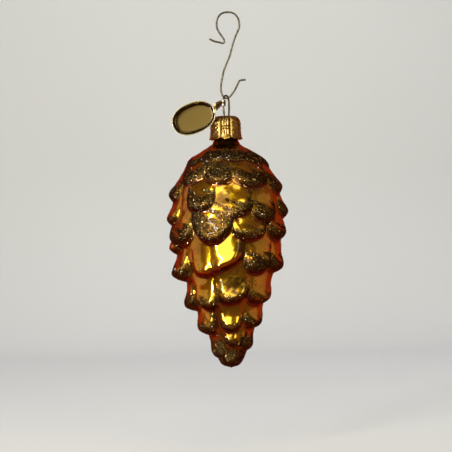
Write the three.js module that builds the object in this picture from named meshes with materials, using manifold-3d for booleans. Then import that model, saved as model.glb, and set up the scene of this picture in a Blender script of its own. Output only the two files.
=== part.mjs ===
// A blown glass pine cone ornament: the glass, its stamped cap, the spring wire loop, a blank oval tag
// and a bent wire hook. Millimetres, +Z up. The origin is the inside of the top of the hook's upper bend,
// where the ornament hangs. The front of the ornament faces -Y, and the axis of the cone is upright.
import * as THREE from "three";
import { mergeVertices } from "three/addons/utils/BufferGeometryUtils.js";
import Module from "manifold-3d";

const wasm = await Module();
wasm.setup();

// Places: the cone's axis and the cap's flat top, from the origin.
const AXIS_X = -2.2;
const CAP_TOP_Z = -44.7;

// A clear gap between pieces that touch on the real ornament.
const SEAT_GAP = 0.3;
const WIRE_RADIUS = 0.4;
const WIRE_SIDES = 8;

// Glass: heights are above the tip.
const GLASS = {
  length: 108,
  wall: 0.9,
  neckRadius: 4.8,
  neckDrop: 1.7,
  around: 64,
  rings: 66,
  innerSegments: 24,
  shoulderHeight: 88,
};

// The glass without its scales, from the tip to the neck, as radius and height above the tip.
const CORE_PROFILE = [
  [0, 0],
  [3.8, 1.3],
  [5.7, 3.8],
  [7.2, 7.5],
  [9.6, 14.2],
  [14.7, 27],
  [19.4, 40],
  [22.7, 53],
  [23.7, 66],
  [22.4, 76.5],
  [19.2, 84.8],
  [15.9, 90],
  [11.9, 93.2],
  [7.6, 95.8],
  [5.2, 97.8],
  [GLASS.neckRadius, 100],
  [GLASS.neckRadius, 103],
];

// Scales of the front half. turn is in degrees round from the front, lip is the height of the lip's
// middle, wide and long are the scale's size, out is how far its lip stands out, and slope is how much
// higher the lip's right end is than its left. Where lift is given, it takes the place of LIP.lift.
const FRONT_SCALES = [
  { turn: -62, lip: 87, wide: 14, long: 9, out: 0.8, slope: 0 },
  { turn: -23, lip: 88.2, wide: 13, long: 8, out: 0.8, slope: 0 },
  { turn: 12.5, lip: 88.6, wide: 12, long: 8, out: 0.7, slope: 0 },
  { turn: 50, lip: 87.4, wide: 14, long: 9, out: 0.8, slope: 0 },
  { turn: 84, lip: 86.5, wide: 13, long: 9, out: 0.8, slope: 0 },
  { turn: -48, lip: 79.5, wide: 15, long: 12, out: 1.6, slope: 0 },
  { turn: -9.5, lip: 79.2, wide: 13.5, long: 12, out: 1.8, slope: 0 },
  { turn: 29, lip: 77.6, wide: 20, long: 14, out: 2.4, slope: -1.4 },
  { turn: 73, lip: 75.2, wide: 16, long: 12, out: 2.6, slope: 0 },
  { turn: -78, lip: 72.7, wide: 15, long: 11, out: 3.2, slope: 0 },
  { turn: -30, lip: 67.7, wide: 15, long: 14, out: 2.6, slope: 0 },
  { turn: 12.5, lip: 65.5, wide: 13, long: 14, out: 2.4, slope: 5.4, lift: 0.08 },
  { turn: 42, lip: 62.8, wide: 15, long: 15, out: 2.6, slope: 0 },
  { turn: 82, lip: 64.9, wide: 12, long: 10, out: 3.2, slope: 0 },
  { turn: -76, lip: 62.2, wide: 15, long: 12, out: 3.4, slope: 0 },
  { turn: -16.5, lip: 54.7, wide: 20.5, long: 20, out: 3, slope: 0.6, lift: 0.4 },
  { turn: 23, lip: 55.8, wide: 17.5, long: 13, out: 2.6, slope: 0 },
  { turn: 64, lip: 55.4, wide: 17, long: 12, out: 3.4, slope: 0 },
  { turn: -63, lip: 54, wide: 21, long: 13, out: 3.8, slope: 0 },
  { turn: -77, lip: 50.5, wide: 11, long: 9, out: 4.2, slope: 0 },
  { turn: -29.5, lip: 41.2, wide: 12.5, long: 14, out: 3, slope: 0, lift: 0.1 },
  { turn: -4, lip: 44.2, wide: 16.5, long: 14, out: 3.2, slope: 7, lift: 0.05 },
  { turn: 36.5, lip: 41.9, wide: 14.5, long: 14, out: 3.4, slope: 0 },
  { turn: 72, lip: 42, wide: 16, long: 13, out: 4, slope: 0 },
  { turn: -73, lip: 39.5, wide: 16, long: 12, out: 6.6, slope: 0 },
  { turn: -36, lip: 27.1, wide: 13.5, long: 14, out: 3.8, slope: 0 },
  { turn: 6, lip: 29.7, wide: 15.5, long: 14, out: 4, slope: 3.4 },
  { turn: 50, lip: 28.8, wide: 18, long: 13, out: 4.2, slope: 0 },
  { turn: -80, lip: 26.5, wide: 13.5, long: 12, out: 5.4, slope: 0 },
  { turn: 2, lip: 17.5, wide: 10.5, long: 11, out: 3, slope: 0 },
  { turn: -58, lip: 16.3, wide: 15, long: 11, out: 4.8, slope: 0 },
  { turn: 55, lip: 18.6, wide: 14, long: 10, out: 3.6, slope: 0 },
  { turn: 12, lip: 10.8, wide: 10, long: 8, out: 2.2, slope: 0 },
  { turn: -55, lip: 5.5, wide: 11, long: 10, out: 2, slope: 0 },
  { turn: 61, lip: 8.6, wide: 10, long: 9, out: 2.4, slope: 0 },
  { turn: -6, lip: 2.4, wide: 6, long: 6, out: 1, slope: 0 },
];
const HALF_TURN = 180;

// How a scale's relief is shaped. Its face rises to a rounded bulge over the lip, which starts to fall
// back a little above the lip. The lip's ends are higher than its middle by lift times the scale's
// width. A taller lip is rounder.
const LIP = {
  start: 1.2,
  startGrowth: 0.25,
  fall: 2.6,
  fallGrowth: 0.55,
  lift: 0.2,
  bulge: 0.3,
  bulgeAbove: 1,
  bulgeWidth: 2.2,
};
const CROSS_POWER = 2.4;
const CROSS_SOFTNESS = 0.8;
const RISE_POWER = 1.2;
const BLEND_POWER = 6;

// Cap: heights are from its flat top.
const CAP = {
  sheet: 0.45,
  lobes: 9,
  stepsPerLobe: 6,
  notchDepth: 0.9,
  lobeFlare: 0.25,
  grooveDepth: 0.22,
  grooveWidth: 0.16,
  holeRadius: WIRE_RADIUS + SEAT_GAP,
};
const CAP_PROFILE = [
  [2, 0],
  [4, 0],
  [4.8, -0.25],
  [5.5, -0.9],
  [5.95, -1.9],
  [6.15, -3.2],
  [6.2, -4.8],
  [6.2, -6.4],
  [6.3, -7.4],
  [6.45, -8.2],
  [6.6, -8.9],
];
const SKIRT_START = -6.4;
const SKIRT_END = -8.9;

// Wire loop: its plane is turned, its legs stand upright and narrow to the cap's holes.
const LOOP = {
  centreX: 0.5,
  halfWidth: 2.4,
  planeTurn: 30,
  archCentre: 6.9,
  uprightFoot: 3.4,
  holeHalfWidth: 1.95,
  steps: 64,
};
// The legs under the cap, as half width and height from the cap's top.
const LOOP_LEGS = [
  [2.1, -1.8],
  [2.6, -5],
  [2.8, -9],
  [3.1, -11],
  [4.3, -14],
  [5.1, -16.5],
];

// Tag: an oval pan and a tab that is rolled round the loop's front leg.
const TAG = {
  centreX: -13.5,
  faceY: -6,
  centreHeight: -0.6,
  halfLength: 9.7,
  halfWidth: 6.7,
  tilt: 21.6,
  squareness: 2.25,
  sheet: 0.4,
  around: 44,
  tabBottom: 4.7,
  tabTop: 7.2,
  tabRootReach: 4.2,
  tabKneeReach: 3.3,
  tabRootDrop: 1.7,
  tabRootGrowth: 1.6,
  tabDropStart: 1.1,
  tabDropReach: 3.1,
  curlRadius: WIRE_RADIUS + SEAT_GAP,
  curlStart: 215,
  curlTurns: 0.82,
  curlSteps: 16,
};
// The pan's section from the back's middle to the front's, as a share of the outline and a depth.
const PAN_SECTION = [
  [0, -1.5],
  [0.4, -1.5],
  [0.72, -1.46],
  [0.82, -1],
  [0.9, -0.5],
  [0.97, -0.4],
  [1, -0.3],
  [1, -0.1],
  [0.98, 0],
  [0.93, 0],
  [0.88, -0.25],
  [0.8, -0.75],
  [0.7, -1.06],
  [0.4, -1.1],
  [0, -1.1],
];

// Hook: the middle of its wire in its own upright plane, from the upper free end to the lower one,
// sideways and down from the origin.
const HOOK = { steps: 92 };
const HOOK_LINE = [
  [-8.3, -10.9],
  [-7.3, -11.4],
  [-6.1, -12],
  [-4.9, -12.3],
  [-3.6, -12.6],
  [-2.5, -12.9],
  [-1.8, -12.4],
  [-2, -11.3],
  [-2.9, -9.9],
  [-3.9, -8.3],
  [-4.7, -6.8],
  [-5, -5.2],
  [-4.95, -3.9],
  [-4.4, -2],
  [-3.3, -0.5],
  [-1.8, 0.25],
  [0, 0.4],
  [1.8, 0.15],
  [3.3, -0.9],
  [4.3, -2.4],
  [4.7, -4.2],
  [4.7, -6.3],
  [4, -7.9],
  [3.2, -9.6],
  [2.5, -11.4],
  [1.6, -14],
  [0.35, -18.3],
  [-0.8, -21],
  [-2.3, -24.6],
  [-3, -27.4],
  [-3.6, -30.2],
  [-3.8, -32.6],
  [-3.5, -34.6],
  [-2.7, -36.1],
  [-1.6, -36.6],
  [-0.4, -36.2],
  [0.9, -34.9],
  [2.3, -32.9],
  [3.6, -30.4],
  [4.3, -29.2],
  [5.4, -28.9],
  [7, -28.8],
];

const DEGREE = Math.PI / 180;

// A closed geometry as a manifold solid, ready to be joined or cut.
function toSolid(geometry) {
  const bare = geometry.index ? geometry.toNonIndexed() : geometry.clone();
  bare.deleteAttribute("normal");
  bare.deleteAttribute("uv");
  const merged = mergeVertices(bare, 1e-4);
  const mesh = new wasm.Mesh({
    numProp: 3,
    vertProperties: new Float32Array(merged.attributes.position.array),
    triVerts: new Uint32Array(merged.index.array),
  });
  return new wasm.Manifold(mesh);
}

// A manifold solid as a geometry for a mesh.
function toGeometry(solid) {
  const mesh = solid.getMesh();
  const geometry = new THREE.BufferGeometry();
  geometry.setAttribute("position", new THREE.BufferAttribute(mesh.vertProperties, 3));
  geometry.setIndex(new THREE.BufferAttribute(mesh.triVerts, 1));
  geometry.computeVertexNormals();
  return geometry;
}

// A closed surface of rings between two poles. pointAt(ring, share) gives the point of a ring at a
// share of the full turn, and the turn runs anticlockwise seen from the last pole.
function closedRings(ringCount, around, pointAt) {
  const points = [pointAt(0, 0)];
  for (let ring = 1; ring < ringCount - 1; ring += 1) {
    for (let step = 0; step < around; step += 1) points.push(pointAt(ring, step / around));
  }
  points.push(pointAt(ringCount - 1, 0));
  const last = points.length - 1;
  const at = (ring, step) => 1 + (ring - 1) * around + (step % around);
  const triangles = [];
  for (let step = 0; step < around; step += 1) {
    triangles.push(0, at(1, step + 1), at(1, step));
    for (let ring = 1; ring < ringCount - 2; ring += 1) {
      triangles.push(at(ring, step), at(ring, step + 1), at(ring + 1, step));
      triangles.push(at(ring, step + 1), at(ring + 1, step + 1), at(ring + 1, step));
    }
    triangles.push(at(ringCount - 2, step), at(ringCount - 2, step + 1), last);
  }
  const geometry = new THREE.BufferGeometry().setFromPoints(points);
  geometry.setIndex(triangles);
  return geometry;
}

// A point round the upright axis. A turn of 0 degrees faces the front, and 90 degrees faces +X.
function around(radius, turn, height) {
  return new THREE.Vector3(radius * Math.sin(turn * DEGREE), -radius * Math.cos(turn * DEGREE), height);
}

// A round wire along a smooth curve through the given points.
function wire(points, steps) {
  const section = new THREE.Shape();
  for (let side = 0; side < WIRE_SIDES; side += 1) {
    const turn = (side / WIRE_SIDES) * 2 * Math.PI;
    const corner = [WIRE_RADIUS * Math.cos(turn), WIRE_RADIUS * Math.sin(turn)];
    if (side) section.lineTo(...corner);
    else section.moveTo(...corner);
  }
  section.closePath();
  const extrudePath = new THREE.CatmullRomCurve3(points, false, "centripetal");
  return new THREE.ExtrudeGeometry(section, { steps, extrudePath, bevelEnabled: false });
}

// The core's profile as evenly spaced stations from the tip to the neck: radius, height, length of
// profile so far, and the direction that faces out of the glass.
function coreStations(count) {
  const neckTop = GLASS.length - GLASS.neckDrop;
  const corners = [...CORE_PROFILE, [GLASS.neckRadius, neckTop]];
  const curve = new THREE.SplineCurve(corners.map(([radius, height]) => new THREE.Vector2(radius, height)));
  curve.arcLengthDivisions = 1200;
  const total = curve.getLength();
  return Array.from({ length: count + 1 }, (_, index) => {
    const share = index / count;
    const point = curve.getPointAt(share);
    const along = curve.getTangentAt(share);
    return { radius: point.x, height: point.y, arc: share * total, outX: along.y, outZ: -along.x };
  });
}

// Every scale of the glass, with its lip as a length of profile. The back half mirrors the front half.
function allScales() {
  const fine = coreStations(400);
  const front = FRONT_SCALES.map((scale) => {
    const lip = fine.find((station) => station.height >= scale.lip);
    return { ...scale, lipArc: lip.arc, lipRadius: lip.radius + scale.out };
  });
  const back = front.map((scale) => ({ ...scale, turn: HALF_TURN - scale.turn, slope: -scale.slope }));
  return [...front, ...back];
}

function smoothStep(share) {
  const held = Math.min(1, Math.max(0, share));
  return held * held * (3 - 2 * held);
}

// How far one scale stands out of the core at a turn and a length of profile.
function scaleHeight(scale, turn, station) {
  const apart = ((((turn - scale.turn + HALF_TURN) % 360) + 360) % 360) - HALF_TURN;
  const radius = (station.radius + scale.lipRadius) / 2;
  const across = (apart * DEGREE * radius) / (scale.wide / 2);
  if (Math.abs(across) >= 1) return 0;
  const lift = scale.lift ?? LIP.lift;
  const ends = lift * scale.wide * across * across + (scale.slope / 2) * across;
  const above = station.arc - scale.lipArc - ends;
  const start = LIP.start + LIP.startGrowth * scale.out;
  const ramp = (1 - Math.min(1, Math.max(0, above / scale.long))) ** RISE_POWER;
  const bulge = LIP.bulge * Math.exp(-(((above - start - LIP.bulgeAbove) / LIP.bulgeWidth) ** 2));
  const under = 1 - smoothStep((start - above) / (LIP.fall + LIP.fallGrowth * scale.out));
  const cross = (1 - Math.abs(across) ** CROSS_POWER) ** CROSS_SOFTNESS;
  return (scale.out * (ramp + bulge) * under * cross) / (1 + LIP.bulge / 2);
}

// The height of all scales together, as a soft maximum.
function relief(scales, turn, station) {
  const sum = scales.reduce((total, scale) => total + scaleHeight(scale, turn, station) ** BLEND_POWER, 0);
  return sum ** (1 / BLEND_POWER);
}

function makeGlass() {
  const scales = allScales();
  const stations = coreStations(GLASS.rings);
  const lastRing = GLASS.rings + 1;
  const tip = -GLASS.length;
  const outer = closedRings(lastRing + 1, GLASS.around, (ring, share) => {
    if (ring === 0) return new THREE.Vector3(0, 0, tip);
    if (ring === lastRing) return new THREE.Vector3(0, 0, tip + stations[GLASS.rings].height);
    const station = stations[ring];
    const turn = share * 360;
    const out = relief(scales, turn, station);
    return around(station.radius + out * station.outX, turn, tip + station.height + out * station.outZ);
  });
  const inside = coreStations(54)
    .filter((station, index) => index && (index % 3 === 0 || station.height > GLASS.shoulderHeight))
    .map((station) => new THREE.Vector2(
      station.radius - GLASS.wall * station.outX,
      tip + station.height - GLASS.wall * station.outZ,
    ));
  const top = inside[inside.length - 1];
  const bottom = inside[0];
  const hollow = new THREE.LatheGeometry(
    [
      new THREE.Vector2(0, bottom.y - GLASS.wall / 2),
      ...inside,
      new THREE.Vector2(top.x, top.y + 1),
      new THREE.Vector2(0, top.y + 1),
    ],
    GLASS.innerSegments,
  ).rotateX(Math.PI / 2);
  return toGeometry(toSolid(outer).subtract(toSolid(hollow)));
}

// The scallops of the skirt: 1 at the middle of a lobe and 0 in the notches.
function lobeShare(turn) {
  return Math.abs(Math.cos((CAP.lobes * turn * DEGREE) / 2));
}

// A point of the cap's sheet, set in from its outer face by inset.
function capPoint(index, turn, inset) {
  const [radius, height] = CAP_PROFILE[index];
  const before = CAP_PROFILE[Math.max(0, index - 1)];
  const after = CAP_PROFILE[Math.min(CAP_PROFILE.length - 1, index + 1)];
  const slope = new THREE.Vector2(after[0] - before[0], after[1] - before[1]).normalize();
  const skirt = Math.max(0, (SKIRT_START - height) / (SKIRT_START - SKIRT_END));
  const lobe = lobeShare(turn);
  const groove = height < -1 && lobe < CAP.grooveWidth ? CAP.grooveDepth : 0;
  const flare = CAP.lobeFlare * skirt * lobe;
  const drop = CAP.notchDepth * skirt * lobe;
  return around(radius + flare - groove + inset * slope.y, turn, height - drop - inset * slope.x);
}

function makeCap() {
  const steps = CAP.lobes * CAP.stepsPerLobe;
  const rings = CAP_PROFILE.length;
  const outer = closedRings(rings + 2, steps, (ring, share) => {
    if (ring === 0) return new THREE.Vector3(0, 0, SKIRT_END);
    if (ring === rings + 1) return new THREE.Vector3(0, 0, 0);
    return capPoint(rings - ring, share * 360, 0);
  });
  const inner = closedRings(rings + 3, steps, (ring, share) => {
    if (ring === 0) return new THREE.Vector3(0, 0, SKIRT_END * 1.5);
    if (ring === rings + 2) return new THREE.Vector3(0, 0, -CAP.sheet);
    const point = capPoint(Math.min(rings - 1, rings + 1 - ring), share * 360, CAP.sheet + CAP.grooveDepth);
    if (ring === 1) point.z -= 2;
    return point;
  });
  let solid = toSolid(outer).subtract(toSolid(inner));
  for (const side of [-1, 1]) {
    const hole = new THREE.CylinderGeometry(CAP.holeRadius, CAP.holeRadius, 4, 12).rotateX(Math.PI / 2);
    const middle = loopPoint(side * LOOP.holeHalfWidth, 0);
    solid = solid.subtract(toSolid(hole.translate(middle.x, middle.y, 0)));
  }
  return toGeometry(solid);
}

// A point of the loop's plane. Negative widths are on the front leg's side.
function loopPoint(width, height) {
  const turn = LOOP.planeTurn * DEGREE;
  return new THREE.Vector3(LOOP.centreX + width * Math.sin(turn), width * Math.cos(turn), height);
}

function makeLoop() {
  const half = [
    [LOOP.holeHalfWidth, 0.6],
    [LOOP.halfWidth, LOOP.uprightFoot],
    [LOOP.halfWidth, (LOOP.uprightFoot + LOOP.archCentre) / 2],
    [LOOP.halfWidth, LOOP.archCentre],
  ];
  const leg = [...LOOP_LEGS].reverse().concat([[LOOP.holeHalfWidth, -0.6]], half);
  const arch = [30, 60, 90, 120, 150].map((turn) => [
    -LOOP.halfWidth * Math.cos(turn * DEGREE),
    LOOP.archCentre + LOOP.halfWidth * Math.sin(turn * DEGREE),
  ]);
  const line = [
    ...leg.map(([width, height]) => [-width, height]),
    ...arch,
    ...[...leg].reverse(),
  ];
  return wire(line.map(([width, height]) => loopPoint(width, height)), LOOP.steps);
}

// The oval outline of the tag, as a share of the full turn.
function ovalPoint(share, scale) {
  const turn = share * 2 * Math.PI;
  const bend = (value) => Math.sign(value) * Math.abs(value) ** (2 / TAG.squareness);
  return [
    TAG.halfLength * scale * bend(Math.cos(turn)),
    TAG.halfWidth * scale * bend(Math.sin(turn)),
  ];
}

function makePan() {
  const last = PAN_SECTION.length - 1;
  const pan = closedRings(PAN_SECTION.length, TAG.around, (ring, share) => {
    const [scale, depth] = PAN_SECTION[ring];
    const [x, y] = ring === 0 || ring === last ? [0, 0] : ovalPoint(share, scale);
    return new THREE.Vector3(x, y, depth);
  });
  pan.rotateZ(TAG.tilt * DEGREE);
  pan.rotateX(Math.PI / 2);
  return pan.translate(TAG.centreX, TAG.faceY, TAG.centreHeight);
}

// The tab: a strip seen from above, from the pan's rim to the leg and round it, raised to its height.
function makeTab() {
  const leg = loopPoint(-LOOP.halfWidth, 0);
  const middle = TAG.curlRadius + TAG.sheet / 2;
  const root = new THREE.Vector2(leg.x - TAG.tabRootReach, TAG.faceY + TAG.sheet / 2);
  const knee = new THREE.Vector2(leg.x - TAG.tabKneeReach, TAG.faceY + TAG.sheet / 2);
  const line = [root, knee];
  for (let step = 0; step <= TAG.curlSteps; step += 1) {
    const turn = (TAG.curlStart + (step / TAG.curlSteps) * TAG.curlTurns * 360) * DEGREE;
    line.push(new THREE.Vector2(leg.x + middle * Math.cos(turn), leg.y + middle * Math.sin(turn)));
  }
  const side = (index, offset) => {
    const before = line[Math.max(0, index - 1)];
    const after = line[Math.min(line.length - 1, index + 1)];
    const along = after.clone().sub(before).normalize();
    return new THREE.Vector2(line[index].x - along.y * offset, line[index].y + along.x * offset);
  };
  const outline = [
    ...line.map((_, index) => side(index, -TAG.sheet / 2)),
    ...line.map((_, index) => side(line.length - 1 - index, TAG.sheet / 2)),
  ];
  const height = TAG.tabTop - TAG.tabBottom;
  const tab = new THREE.ExtrudeGeometry(new THREE.Shape(outline), { depth: height, bevelEnabled: false });
  const place = tab.getAttribute("position");
  for (let index = 0; index < place.count; index += 1) {
    const reach = smoothStep((leg.x - TAG.tabDropStart - place.getX(index)) / TAG.tabDropReach);
    const up = place.getZ(index) / height;
    const grown = (up - 1) * TAG.tabRootGrowth * reach;
    place.setZ(index, TAG.tabBottom + up * height - TAG.tabRootDrop * reach + grown);
  }
  return tab;
}

function makeTag() {
  return toGeometry(toSolid(makePan()).add(toSolid(makeTab())));
}

function makeHook() {
  return wire(HOOK_LINE.map(([across, height]) => new THREE.Vector3(across, 0, height)), HOOK.steps);
}

function part(name, geometry, color, roughness, metalness) {
  const mesh = new THREE.Mesh(geometry, new THREE.MeshStandardMaterial({ color, roughness, metalness }));
  mesh.name = name;
  return mesh;
}

const body = new THREE.Group();
body.position.set(AXIS_X, 0, CAP_TOP_Z);
body.add(part("glass_cone", makeGlass(), 0xb8860b, 0.3, 0.8));
body.add(part("cap", makeCap(), 0xc9a24a, 0.35, 1));
body.add(part("wire_loop", makeLoop(), 0x9a958c, 0.3, 1));
body.add(part("tag", makeTag(), 0xa89f92, 0.3, 1));

const ornament = new THREE.Group();
ornament.add(body);
ornament.add(part("hook", makeHook(), 0x8f8c88, 0.3, 1));

export default ornament;
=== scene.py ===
"""A blown glass pine cone ornament: lacquered glass, glitter, stamped cap, wire loop, oval tag and hook."""
import logging
import math
from dataclasses import dataclass, field, replace
from enum import Enum

import bpy
import numpy as np
from mathutils import Matrix, Vector


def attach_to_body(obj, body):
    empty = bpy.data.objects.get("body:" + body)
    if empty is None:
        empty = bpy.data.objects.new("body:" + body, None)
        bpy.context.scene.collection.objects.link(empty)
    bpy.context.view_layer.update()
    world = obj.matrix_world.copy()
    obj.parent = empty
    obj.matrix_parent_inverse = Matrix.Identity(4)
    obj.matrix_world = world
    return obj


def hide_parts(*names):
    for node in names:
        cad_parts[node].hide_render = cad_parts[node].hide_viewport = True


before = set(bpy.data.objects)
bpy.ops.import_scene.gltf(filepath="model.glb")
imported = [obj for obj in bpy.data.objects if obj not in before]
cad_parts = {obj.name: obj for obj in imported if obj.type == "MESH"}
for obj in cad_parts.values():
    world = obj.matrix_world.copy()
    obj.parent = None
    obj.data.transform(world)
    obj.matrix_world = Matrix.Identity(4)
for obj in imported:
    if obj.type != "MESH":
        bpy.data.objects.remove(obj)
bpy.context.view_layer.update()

LOG = logging.getLogger("ornament")

MM = 0.001
ORNAMENT_BODY = "ornament"
TAG_BODY = "tag"

# Where the cone's axis and the cap's flat top are, from the inside of the hook's upper bend.
AXIS_X = -2.2
CAP_TOP_Z = -44.7

WIRE_RADIUS = 0.4

# A wire's softly cut end: distance from the end in millimetres, and share of the wire's radius there.
WIRE_END = ((0.0, 0.55), (0.05, 0.82), (0.14, 1.0))


class Slot(Enum):
    """Material slots of the record."""

    GLASS = "lacquered_glass"
    CAP = "cap_metal"
    LOOP = "loop_wire"
    TAG = "tag_metal"
    HOOK = "hook_wire"


class BooleanKind(Enum):
    """How a second solid changes the first."""

    CUT = "DIFFERENCE"
    JOIN = "UNION"


# Small helpers for shapes


def smooth_step(share: np.ndarray) -> np.ndarray:
    """Eases a share from 0 to 1.

    Args:
        share: any numbers.

    Returns:
        0 below 0, 1 above 1, and a smooth curve between.
    """
    held = np.clip(share, 0.0, 1.0)
    return held * held * (3.0 - 2.0 * held)


def catmull_rom(corners: np.ndarray, count: int, power: float = 0.0) -> np.ndarray:
    """Samples a smooth curve through the given corners.

    Args:
        corners: one row for each corner.
        count: samples on each stretch between two corners.
        power: 0 for even knots, 0.5 for centripetal ones.

    Returns:
        One row for each sample, both ends included.
    """
    before = 2.0 * corners[0] - corners[1] if power else corners[0]
    after = 2.0 * corners[-1] - corners[-2] if power else corners[-1]
    padded = np.vstack([before, corners, after])
    pieces = []
    for index in range(len(corners) - 1):
        p0, p1, p2, p3 = padded[index : index + 4]
        gaps = [max(np.linalg.norm(b - a), 1e-9) ** power for a, b in ((p0, p1), (p1, p2), (p2, p3))]
        t = np.linspace(0.0, 1.0, count, endpoint=False)[:, None]
        if power:
            start = (p1 - p0) / gaps[0] - (p2 - p0) / (gaps[0] + gaps[1]) + (p2 - p1) / gaps[1]
            end = (p2 - p1) / gaps[1] - (p3 - p1) / (gaps[1] + gaps[2]) + (p3 - p2) / gaps[2]
            start, end = start * gaps[1], end * gaps[1]
        else:
            start, end = (p2 - p0) / 2.0, (p3 - p1) / 2.0
        pieces.append(
            (2 * t**3 - 3 * t**2 + 1) * p1
            + (t**3 - 2 * t**2 + t) * start
            + (3 * t**2 - 2 * t**3) * p2
            + (t**3 - t**2) * end
        )
    return np.vstack([*pieces, corners[-1]])


def evenly_spaced(line: np.ndarray, count: int) -> np.ndarray:
    """Puts samples of a line at even lengths.

    Args:
        line: one row for each sample.
        count: how many stretches to make.

    Returns:
        count + 1 rows.
    """
    steps = np.linalg.norm(np.diff(line, axis=0), axis=1)
    length = np.concatenate([[0.0], np.cumsum(steps)])
    wanted = np.linspace(0.0, length[-1], count + 1)
    return np.column_stack([np.interp(wanted, length, line[:, axis]) for axis in range(line.shape[1])])


# Small helpers for Blender objects


def leave_edit_and_deselect() -> None:
    """Goes to object mode with nothing selected."""
    if bpy.context.object and bpy.context.object.mode != "OBJECT":
        bpy.ops.object.mode_set(mode="OBJECT")
    bpy.ops.object.select_all(action="DESELECT")


def make_active(piece: bpy.types.Object) -> None:
    """Selects one object alone and makes it the active one."""
    leave_edit_and_deselect()
    piece.select_set(True)
    bpy.context.view_layer.objects.active = piece


def new_object(name: str, points: np.ndarray, edges: list, faces: list) -> bpy.types.Object:
    """Makes a mesh object from points in millimetres.

    Args:
        name: the object's name.
        points: one row for each vertex, in millimetres.
        edges: pairs of vertex numbers.
        faces: lists of vertex numbers.

    Returns:
        The linked object.
    """
    mesh = bpy.data.meshes.new(name)
    mesh.from_pydata((np.asarray(points, float) * MM).tolist(), edges, faces)
    piece = bpy.data.objects.new(name, mesh)
    bpy.context.scene.collection.objects.link(piece)
    return piece


def read_points(piece: bpy.types.Object) -> np.ndarray:
    """Returns an object's vertices in millimetres, one row each."""
    flat = np.zeros(len(piece.data.vertices) * 3)
    piece.data.vertices.foreach_get("co", flat)
    return flat.reshape(-1, 3) / MM


def write_points(piece: bpy.types.Object, points: np.ndarray) -> None:
    """Sets an object's vertices from millimetres."""
    piece.data.vertices.foreach_set("co", (points * MM).ravel())
    piece.data.update()


def set_attribute(piece: bpy.types.Object, name: str, values: np.ndarray) -> None:
    """Stores one number for each vertex, for a material to read."""
    layer = piece.data.attributes.new(name, "FLOAT", "POINT")
    layer.data.foreach_set("value", values.astype(np.float32))


def face_outwards(piece: bpy.types.Object, merge: float = 0.001) -> None:
    """Merges doubles and points every face outwards.

    Args:
        piece: a closed mesh.
        merge: how close two vertices are to count as one, in millimetres.
    """
    make_active(piece)
    bpy.ops.object.mode_set(mode="EDIT")
    bpy.ops.mesh.select_all(action="SELECT")
    bpy.ops.mesh.remove_doubles(threshold=merge * MM)
    bpy.ops.mesh.normals_make_consistent(inside=False)
    bpy.ops.object.mode_set(mode="OBJECT")


def apply_modifier(piece: bpy.types.Object, kind: str, **settings: object) -> None:
    """Adds a modifier, sets it and applies it.

    Args:
        piece: the object that gets it.
        kind: Blender's modifier type.
        settings: the modifier's own settings.
    """
    make_active(piece)
    modifier = piece.modifiers.new(kind.title(), kind)
    for key, value in settings.items():
        setattr(modifier, key, value)
    bpy.ops.object.modifier_apply(modifier=modifier.name)


def combine(piece: bpy.types.Object, other: bpy.types.Object, kind: BooleanKind) -> None:
    """Cuts or joins a second solid and removes it.

    Args:
        piece: the solid that stays.
        other: the solid that is used up.
        kind: cut or join.
    """
    joins = kind is BooleanKind.JOIN
    apply_modifier(piece, "BOOLEAN", object=other, operation=kind.value, solver="EXACT", use_self=joins)
    bpy.data.objects.remove(other)


def shade(piece: bpy.types.Object, degrees: float = 180.0) -> None:
    """Shades a piece smoothly, apart from edges sharper than the given angle."""
    make_active(piece)
    if degrees >= 180.0:
        bpy.ops.object.shade_smooth()
    else:
        bpy.ops.object.shade_smooth_by_angle(angle=math.radians(degrees))


def spin_profile(name: str, profile: np.ndarray, steps: int) -> bpy.types.Object:
    """Spins a profile round the cone's axis into a closed surface.

    Args:
        name: the object's name.
        profile: radius and height from the cap's top, in millimetres; both ends lie on the axis.
        steps: faces round the turn.

    Returns:
        The surface, with one vertex at each pole.
    """
    points = np.column_stack([AXIS_X + profile[:, 0], np.zeros(len(profile)), CAP_TOP_Z + profile[:, 1]])
    chain = [(index, index + 1) for index in range(len(profile) - 1)]
    piece = new_object(name, points, chain, [])
    make_active(piece)
    bpy.ops.object.mode_set(mode="EDIT")
    bpy.ops.mesh.select_all(action="SELECT")
    bpy.ops.mesh.spin(
        steps=steps, angle=2.0 * math.pi, center=(AXIS_X * MM, 0.0, 0.0), axis=(0.0, 0.0, 1.0)
    )
    bpy.ops.object.mode_set(mode="OBJECT")
    face_outwards(piece)
    return piece


def round_axis(points: np.ndarray) -> tuple[np.ndarray, np.ndarray, np.ndarray]:
    """Turns places into turn, radius and height.

    Args:
        points: one row for each place, in millimetres.

    Returns:
        Turn in degrees from the front, radius from the cone's axis, and height from the cap's top.
    """
    x = points[:, 0] - AXIS_X
    turn = np.degrees(np.arctan2(x, -points[:, 1]))
    return turn, np.hypot(x, points[:, 1]), points[:, 2] - CAP_TOP_Z


def from_axis(turn: np.ndarray, radius: np.ndarray, height: np.ndarray) -> np.ndarray:
    """Turns turn, radius and height back into places, in millimetres."""
    angle = np.radians(turn)
    return np.column_stack(
        [AXIS_X + radius * np.sin(angle), -radius * np.cos(angle), CAP_TOP_Z + height]
    )


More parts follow.
